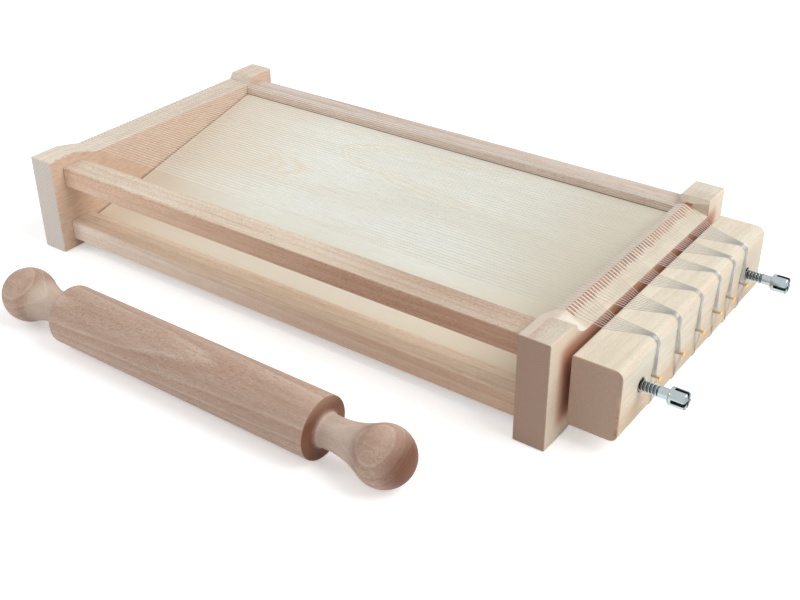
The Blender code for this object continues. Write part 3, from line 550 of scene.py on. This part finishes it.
def zinc(name, number):
    """Bright zinc, with painted shade in the thread's root, on and in the head's end and where it leaves
    the bar.
    """
    def extra(g, place, colour):
        away = from_screw(g, place, number)
        x = g.axes(place)[0]
        plain = g.range_x(x, THREAD_END_X - 0.0003, THREAD_END_X + 0.0001)
        # painted shade: dark in the thread's root, in the head's end and slots, and by the bar
        root = g.times(g.range(away, 0.0034, 0.0029), g.minus(1.0, plain))
        colour = g.lay(colour, root, 0.85, rgb(0.12, 0.14, 0.15))
        head = g.range_x(x, HEAD_START_X + 0.0003, HEAD_START_X + 0.0007)
        inside = g.times(g.range(away, 0.00530, 0.00505), head)
        colour = g.lay(colour, inside, 0.6, rgb(0.10, 0.125, 0.135))
        bar_shade = g.range_x(x, BAR_OUTER_X + 0.0040, BAR_OUTER_X)
        return g.lay(colour, bar_shade, 0.5, rgb(0.06, 0.06, 0.055))
    return metal(name, (0.50, 0.57, 0.60), 0.15, extra)


def wire_painted_sheen(g, place, colour):
    """Strings: painted reflection, bright at their left end, duller over the board's right half and
    round the bar.
    """
    x = g.axes(place)[0]
    over_board = g.times(g.range_x(x, -0.12, 0.08), g.range_x(x, 0.190, 0.165, 0.40))
    colour = g.lay(colour, over_board, 0.62, rgb(0.44, 0.43, 0.41))
    round_bar = g.range_x(x, BAR_INNER_X + 0.010, BAR_OUTER_X - 0.003)
    return g.lay(colour, round_bar, 0.55, rgb(0.33, 0.335, 0.33))


WIRE = metal("drawn_steel", (0.93, 0.92, 0.89), 0.34, wire_painted_sheen)
ZINCS = {"near_tension_screw": zinc("near_zinc", 0), "far_tension_screw": zinc("far_zinc", 1)}
BRASS = metal("nail_brass", (0.84, 0.50, 0.13), 0.24)
for node_name in NODES:
    if "strings" in node_name:
        dress(node_name, WIRE)
    if "nail" in node_name:
        dress(node_name, BRASS)
    if node_name in ZINCS:
        dress(node_name, ZINCS[node_name])


# mesh helpers
def made_object(name, data, material, body=None):
    """A new piece with its material; it rides on the body, if there is one."""
    made = bpy.data.objects.new(name, data)
    data.materials.clear()
    data.materials.append(material)
    bpy.context.scene.collection.objects.link(made)
    if body:
        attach(made, body)
    return made


def mesh_from(shape, name, smooth_angle=40):
    """Mesh data of a bmesh, its faces out, smooth but for its sharp edges."""
    bmesh.ops.remove_doubles(shape, verts=shape.verts, dist=0.000001)
    bmesh.ops.recalc_face_normals(shape, faces=shape.faces)
    data = bpy.data.meshes.new(name)
    shape.to_mesh(data)
    shape.free()
    data.shade_smooth()
    data.set_sharp_from_angle(angle=math.radians(smooth_angle))
    return data


def lathe(shape, profile, sides, centre, direction=1):
    """Skin of (along, radius) points turned about a line along X."""
    rings = []
    for along, radius in profile:
        x = centre[0] + direction * along
        if radius < 0.0000005:
            rings.append([shape.verts.new((x, centre[1], centre[2]))])
            continue
        ring = []
        for k in range(sides):
            angle = 2 * math.pi * k / sides
            ring.append(shape.verts.new((
                x, centre[1] + radius * math.cos(angle), centre[2] + radius * math.sin(angle))))
        rings.append(ring)
    for first, second in zip(rings, rings[1:]):
        for k in range(sides):
            j = (k + 1) % sides
            corners = [first[k % len(first)], first[j % len(first)],
                       second[j % len(second)], second[k % len(second)]]
            shape.faces.new(list(dict.fromkeys(corners)))


def closed_skin(shape, rings):
    """Faces between rings of as many points each, and a cap at both ends."""
    for first, second in zip(rings, rings[1:]):
        for k in range(len(first)):
            j = (k + 1) % len(first)
            shape.faces.new((first[k], first[j], second[j], second[k]))
    shape.faces.new(rings[0])
    shape.faces.new(rings[-1])


# strings
BUNDLE_SPACING, BUNDLE_STRAY = 0.00046, 0.00022
FIRST_LEVEL, LEVEL_STEP = 0.0005, 0.00055
ARRIS_FALL, BEND = 0.0006, 0.0004
LOWER_BUNDLE_ASIDE = 0.0035
HOOK_STEPS, ROUND_STEPS = 8, 7
TUBE_SIDES = 6


def on_side(side, z):
    """A height on the upper strings' side, or its mirror on the lower strings' side."""
    return z if side > 0 else HEIGHT - z


def wire_run(side, kerf_y, bundle_y, nail, leg, slot):
    """One string from the bridge nail, over the left bridge, the kerf and the bar, to its nail.

    The bar nail's Y and Z are given; leg is the side of the nails that the wire passes, and
    slot its level on them.
    """
    level = FIRST_LEVEL + LEVEL_STEP * slot
    leg_y = nail[0] + leg * (NAIL_RADIUS + WIRE_SEAT)
    top = KERF_Z + WIRE_SEAT
    bar_z = BAR_TOP_Z + WIRE_SEAT
    bend_x = BAR_INNER_X + BAR_INNER_ROUND
    slope = (top - bar_z) / (bend_x - CREST_X)
    fan_x = CREST_X + KERF_RUN
    turn_x = BAR_OUTER_X - BAR_ROUND
    part = (bend_x - fan_x) / (turn_x - fan_x)
    bend_y = kerf_y + (bundle_y - kerf_y) * part
    points = [
        (-OUTER_X - level, leg_y, MIDDLE_Z),
        (-OUTER_X - WIRE_SEAT, kerf_y, on_side(side, top - ARRIS_FALL)),
        (-OUTER_X - WIRE_SEAT * 0.6, kerf_y, on_side(side, top - ARRIS_FALL / 3)),
        (-OUTER_X + WIRE_SEAT, kerf_y, on_side(side, top)),
        (CREST_X - BEND, kerf_y, on_side(side, top)),
        (CREST_X + BEND, kerf_y, on_side(side, top - slope * BEND)),
        (fan_x, kerf_y, on_side(side, top - slope * KERF_RUN)),
        (bend_x - BEND, bend_y, on_side(side, bar_z + slope * BEND)),
        (bend_x + BEND, bend_y, on_side(side, bar_z))]
    reach = BAR_ROUND + WIRE_SEAT
    for k in range(ROUND_STEPS + 1):
        angle = math.pi / 2 * k / ROUND_STEPS
        points.append((
            turn_x + reach * math.sin(angle), bundle_y,
            on_side(side, BAR_TOP_Z - BAR_ROUND + reach * math.cos(angle))))
    points.append((BAR_OUTER_X + level, leg_y, nail[1]))
    return points


def wire_hook(side, start_x, end_x, nail_y, nail_z, leg):
    """Half turn round a nail."""
    points = []
    for k in range(1, HOOK_STEPS):
        angle = math.pi * k / HOOK_STEPS
        points.append((
            start_x + (end_x - start_x) * k / HOOK_STEPS,
            nail_y + leg * (NAIL_RADIUS + WIRE_SEAT) * math.cos(angle),
            nail_z - side * (NAIL_RADIUS + WIRE_SEAT) * math.sin(angle)))
    return points


def tube(name, points, radius):
    """Closed tube through the points, whose sides keep their direction along it."""
    shape = bmesh.new()
    places = [Vector(point) + ORIGIN for point in points]
    rings = []
    normal = None
    for i, place in enumerate(places):
        before = (place - places[i - 1]).normalized() if i else None
        after = (places[i + 1] - place).normalized() if i + 1 < len(places) else None
        heading = ((before or after) + (after or before)).normalized()
        if normal is None:
            normal = heading.orthogonal().normalized()
        normal = (normal - heading * normal.dot(heading)).normalized()
        other = heading.cross(normal)
        stretch = 1.0
        if before and after:
            stretch = min(1.0 / max(heading.dot(after), 0.5), 1.4)
        ring = []
        for k in range(TUBE_SIDES):
            angle = 2 * math.pi * k / TUBE_SIDES
            offset = normal * math.cos(angle) + other * math.sin(angle)
            ring.append(shape.verts.new(place + offset * radius * stretch))
        rings.append(ring)
    closed_skin(shape, rings)
    return mesh_from(shape, name, 75)


def shared_pairs(pairs, nails=6):
    """Pairs of strings for each nail; the spare pairs go to the second and last nails first."""
    shares = [pairs // nails] * nails
    order = [1, nails - 1] + [n for n in range(nails) if n not in (1, nails - 1)]
    for number in range(pairs % nails):
        shares[order[number]] += 1
    return shares


def string_wire(name, side, kerf_ys, bundle_y, nail, slots):
    """One wire that runs to and fro between its two nails."""
    count = len(kerf_ys)
    bundle_ys = []
    for i in range(count):
        stray = BUNDLE_STRAY * math.sin(2.3 * i + 40 * bundle_y + side)
        bundle_ys.append(bundle_y + BUNDLE_SPACING * (i - (count - 1) / 2) + stray)
    points = []
    for number, slot in enumerate(slots):
        other = count - 1 - number
        out = wire_run(side, kerf_ys[number], bundle_ys[number], nail, -1, slot)
        home = wire_run(side, kerf_ys[other], bundle_ys[other], nail, 1, slot)
        if points:
            points += wire_hook(side, points[-1][0], out[0][0], nail[0], MIDDLE_Z, 1)
        points += out
        points += wire_hook(side, out[-1][0], home[-1][0], nail[0], nail[1], -1)
        points += list(reversed(home))
    first, last = points[0], points[-1]
    tail_z = MIDDLE_Z - side * 0.0006
    points.insert(0, (first[0], first[1], tail_z))
    points.append((last[0], last[1], tail_z))
    made = made_object(name + "_wire", tube(name + "_wire", points, WIRE_RADIUS), WIRE)
    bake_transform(made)
    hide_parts(name)


KERF_YS = [KERF_FIRST_Y + KERF_PITCH * i for i in range(KERF_COUNT)]
upper_pairs = shared_pairs(KERF_COUNT // 2)
lower_pairs = shared_pairs(KERF_COUNT // 4)
first_upper = 0
first_lower = 0
for n in range(6):
    upper, lower = upper_pairs[n], lower_pairs[n]
    nail_place = (NAIL_YS[n], BAR_NAIL_ZS[n])
    string_wire("upper_strings_%d" % (n + 1), 1, KERF_YS[first_upper:first_upper + 2 * upper],
                BUNDLE_YS[n], nail_place, range(upper))
    string_wire("lower_strings_%d" % (n + 1), -1, KERF_YS[::2][first_lower:first_lower + 2 * lower],
                NAIL_YS[n] + LOWER_BUNDLE_ASIDE, nail_place, range(upper, upper + lower))
    first_upper += 2 * upper
    first_lower += 2 * lower


# nails
NAIL_POINT, NAIL_TAPER = -0.0105, -0.0092
NAIL_HEAD, NAIL_HEAD_THICK = 0.0015, 0.0007


def nail(name, face_x, y, z, direction, body):
    """Small round-headed nail with a chamfered rim."""
    neck = NAIL_SHOWING - NAIL_HEAD_THICK
    profile = [
        (NAIL_POINT, 0), (NAIL_TAPER, NAIL_RADIUS), (neck - 0.0001, NAIL_RADIUS),
        (neck, NAIL_RADIUS + 0.0001), (neck, NAIL_HEAD - 0.0001), (neck + 0.0001, NAIL_HEAD),
        (neck + 0.0004, NAIL_HEAD), (neck + 0.0006, NAIL_HEAD - 0.0003),
        (neck + 0.00068, NAIL_HEAD - 0.0008), (NAIL_SHOWING, 0)]
    shape = bmesh.new()
    lathe(shape, profile, 20, from_centre(face_x, y, z), direction)
    made = made_object(name + "_turned", mesh_from(shape, name + "_turned"), BRASS, body)
    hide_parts(name)


for n, y in enumerate(NAIL_YS):
    nail("bar_nail_%d" % (n + 1), BAR_OUTER_X, y, BAR_NAIL_ZS[n], 1, "tension_bar_body")
    nail("bridge_nail_%d" % (n + 1), -OUTER_X, y, MIDDLE_Z, -1, "frame")


# screws
THREAD_SIDES, THREAD_STEPS = 28, 14
THREAD_LEAD_IN, THREAD_RUN_OUT = 0.0015, 0.0012
SLOT_DEEP, SLOT_LONG, SLOT_WIDE, TOOL_PAST_HEAD = 0.0078, 0.014, 0.0022, 0.004


def thread_height(turns):
    """Share of the thread's depth at this place in a turn: narrow crest, wide root."""
    part = turns - math.floor(turns)
    climb = abs(part - 0.5) * 2
    return max(0.0, min(1.0, (climb - 0.42) / 0.40))


def thread_mesh(name, y, z, phase):
    """Helical thread that fades out at both ends."""
    step = THREAD_PITCH / THREAD_STEPS
    length = THREAD_END_X - THREAD_START_X
    shape = bmesh.new()
    rings = []
    for i in range(int(length / step) + 2):
        x = min(i * step, length)
        ease = max(0.0, min(1.0, x / THREAD_LEAD_IN, (length - x) / THREAD_RUN_OUT))
        ring = []
        for k in range(THREAD_SIDES):
            angle = 2 * math.pi * k / THREAD_SIDES
            lift = thread_height(x / THREAD_PITCH - k / THREAD_SIDES + phase) * ease
            radius = THREAD_ROOT + (THREAD_CREST - THREAD_ROOT) * lift
            ring.append(shape.verts.new(from_centre(
                THREAD_START_X + x, y + radius * math.cos(angle), z + radius * math.sin(angle))))
        rings.append(ring)
    closed_skin(shape, rings)
    return mesh_from(shape, name, 30)


def cut_slot(made, word, size, y, z):
    """Cut one of the head's crossed slots with a box."""
    cut = bmesh.new()
    bmesh.ops.create_cube(cut, size=1)
    bmesh.ops.scale(cut, vec=size, verts=cut.verts)
    tool_data = bpy.data.meshes.new("tool")
    cut.to_mesh(tool_data)
    cut.free()
    tool = bpy.data.objects.new("tool_" + word, tool_data)
    tool.location = from_centre(HEAD_END_X + (TOOL_PAST_HEAD - SLOT_DEEP) / 2, y, z)
    bpy.context.scene.collection.objects.link(tool)
    cutting = made.modifiers.new("slot_" + word, "BOOLEAN")
    cutting.operation = "DIFFERENCE"
    cutting.object = tool
    cutting.solver = "EXACT"
    bpy.context.view_layer.update()
    graph = bpy.context.evaluated_depsgraph_get()
    cut_mesh = bpy.data.meshes.new_from_object(made.evaluated_get(graph))
    made.modifiers.clear()
    made.data = cut_mesh
    bpy.data.objects.remove(tool)


def tension_screw(name, y, z, body, phase):
    """Screw with a real thread, a plain neck and a head that is slotted crosswise."""
    threaded = made_object(
        name + "_thread", thread_mesh(name + "_thread", y, z, phase), ZINCS[name], body)
    neck, head, length = SCREW_NECK, SCREW_HEAD, SCREW_NECK_LENGTH
    profile = [
        (-0.0010, 0), (-0.0010, 0.0025), (0, neck), (length, neck), (length, head - 0.0006),
        (length + 0.0002, head - 0.0002), (length + 0.0006, head), (length + 0.0092, head),
        (length + 0.0097, head - 0.0002), (length + 0.0100, head - 0.0006),
        (length + HEAD_LENGTH, head - 0.0012), (length + HEAD_LENGTH, 0)]
    shape = bmesh.new()
    lathe(shape, profile, 48, from_centre(THREAD_END_X, y, z))
    made = made_object(name + "_head", mesh_from(shape, name + "_head", 30), ZINCS[name], body)
    tool_length = SLOT_DEEP + TOOL_PAST_HEAD
    cut_slot(made, "a", (tool_length, SLOT_WIDE, SLOT_LONG), y, z)
    cut_slot(made, "b", (tool_length, SLOT_LONG, SLOT_WIDE), y, z)
    made.data.set_sharp_from_angle(angle=math.radians(30))
    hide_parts(name)


tension_screw("near_tension_screw", *SCREW_PLACES[0], "near_screw", 0.10)
tension_screw("far_tension_screw", *SCREW_PLACES[1], "far_screw", 0.45)


# rolling pin
PIN_BODY, PIN_EDGE, PIN_FILLET = 0.10155, 0.0010, 0.0042
PIN_BALL, PIN_BALL_X = 0.01765, 0.1425
PIN_WAIST, PIN_WAIST_X = 0.00975, PIN_BODY + 0.0073
EDGE_STEPS, FILLET_STEPS, HOLLOW_STEPS, BALL_STEPS = 4, 6, 14, 24
PIN_SIDES = 96


def pin_half():
    """Half of the pin from the middle to the tip of its ball, as (along, radius)."""
    reach = PIN_BALL_X - PIN_WAIST_X
    hollow = (reach ** 2 + PIN_WAIST ** 2 - PIN_BALL ** 2) / (2 * (PIN_BALL - PIN_WAIST))
    touch = math.atan2(reach, PIN_WAIST + hollow)
    points = []
    for k in range(EDGE_STEPS + 1):
        angle = math.pi / 2 * k / EDGE_STEPS
        points.append((
            PIN_BODY - PIN_EDGE * (1 - math.sin(angle)),
            PIN_RADIUS - PIN_EDGE * (1 - math.cos(angle))))
    root_x = PIN_BODY + PIN_FILLET
    root = PIN_WAIST + hollow - math.sqrt(hollow ** 2 - (PIN_WAIST_X - root_x) ** 2)
    for k in range(FILLET_STEPS + 1):
        angle = math.pi / 2 * k / FILLET_STEPS
        points.append((
            PIN_BODY + PIN_FILLET * (1 - math.cos(angle)), root + PIN_FILLET * (1 - math.sin(angle))))
    for k in range(HOLLOW_STEPS + 1):
        angle = touch * k / HOLLOW_STEPS
        points.append((
            PIN_WAIST_X + hollow * math.sin(angle), PIN_WAIST + hollow * (1 - math.cos(angle))))
    start = math.pi / 2 + touch
    for k in range(1, BALL_STEPS + 1):
        angle = start * (1 - k / BALL_STEPS)
        points.append((PIN_BALL_X + PIN_BALL * math.cos(angle), PIN_BALL * abs(math.sin(angle))))
    points[-1] = (PIN_BALL_X + PIN_BALL, 0)
    return points


shape = bmesh.new()
half = pin_half()
lathe(shape, [(-along, radius) for along, radius in reversed(half)] + half, PIN_SIDES,
      from_centre(PIN_X, PIN_Y, PIN_RADIUS))
pin = made_object("turned_pin", mesh_from(shape, "turned_pin", 50), PIN, "rolling_pin_body")
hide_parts("rolling_pin")


# stage and light
FLOOR_GLOW, FLOOR_REACH, FLOOR_Z = 0.38, 6.0, -0.0002
GLOW_NEAR, GLOW_FAR = 0.35, 1.6
WORLD_LIGHT, WORLD_SEEN = 0.50, 1.0


def seen_directly(tree):
    """One for rays from the camera, a reflection or a transmission; zero for the rest."""
    path = tree.nodes.new("ShaderNodeLightPath")
    total = path.outputs["Is Camera Ray"]
    for other in ("Is Glossy Ray", "Is Transmission Ray"):
        step = tree.nodes.new("ShaderNodeMath")
        step.operation = "MAXIMUM"
        tree.links.new(total, step.inputs[0])
        tree.links.new(path.outputs[other], step.inputs[1])
        total = step.outputs[0]
    return total


def floor_material():
    """Pale floor that looks white all round, but keeps the object's shadow."""
    g = Graph("pale_floor")
    place = g.node("ShaderNodeTexCoord").outputs["Object"]
    tone = g.noise(place, 3.0, 2.0)
    g.link(g.mix(tone, rgb(0.90, 0.90, 0.90), rgb(0.93, 0.93, 0.93)), "Base Color")
    g.shader.inputs["Roughness"].default_value = 0.9
    g.shader.inputs["Specular IOR Level"].default_value = 0.0
    g.shader.inputs["Emission Color"].default_value = rgb(1.0, 1.0, 1.0)
    glow = g.range(g.vector("LENGTH", place), GLOW_NEAR, GLOW_FAR, FLOOR_GLOW, 1.0)
    g.link(g.times(glow, seen_directly(g.tree)), "Emission Strength")
    return g.material


shape = bmesh.new()
bmesh.ops.create_grid(shape, x_segments=4, y_segments=4, size=FLOOR_REACH)
floor_data = bpy.data.meshes.new("floor")
shape.to_mesh(floor_data)
shape.free()
floor = bpy.data.objects.new("floor", floor_data)
floor.location = (0, 0, FLOOR_Z)
floor_data.materials.append(floor_material())
bpy.context.scene.collection.objects.link(floor)

world = bpy.data.worlds.new("studio")
world.use_nodes = True
bpy.context.scene.world = world
world_tree = world.node_tree
background = world_tree.nodes["Background"]
background.inputs["Color"].default_value = rgb(1.0, 1.0, 1.0)
strength = world_tree.nodes.new("ShaderNodeMapRange")
strength.inputs["To Min"].default_value = WORLD_LIGHT
strength.inputs["To Max"].default_value = WORLD_SEEN
world_tree.links.new(seen_directly(world_tree), strength.inputs["Value"])
world_tree.links.new(strength.outputs[0], background.inputs["Strength"])


def lamp(name, place, target, size, power):
    """Round soft lamp that points at its target."""
    light = bpy.data.lights.new(name, "AREA")
    light.shape = "DISK"
    light.size = size
    light.energy = power
    made = bpy.data.objects.new(name, light)
    made.location = place
    direction = Vector(target) - Vector(place)
    made.rotation_euler = direction.to_track_quat("-Z", "Y").to_euler()
    bpy.context.scene.collection.objects.link(made)


lamp("key", (1.0, 0.25, 1.15), (0, 0, 0), 1.3, 16.5)
lamp("fill", (-0.62, -0.55, 0.50), (-0.15, -0.05, 0.03), 0.45, 1.6)

bpy.context.scene.view_settings.view_transform = "Standard"
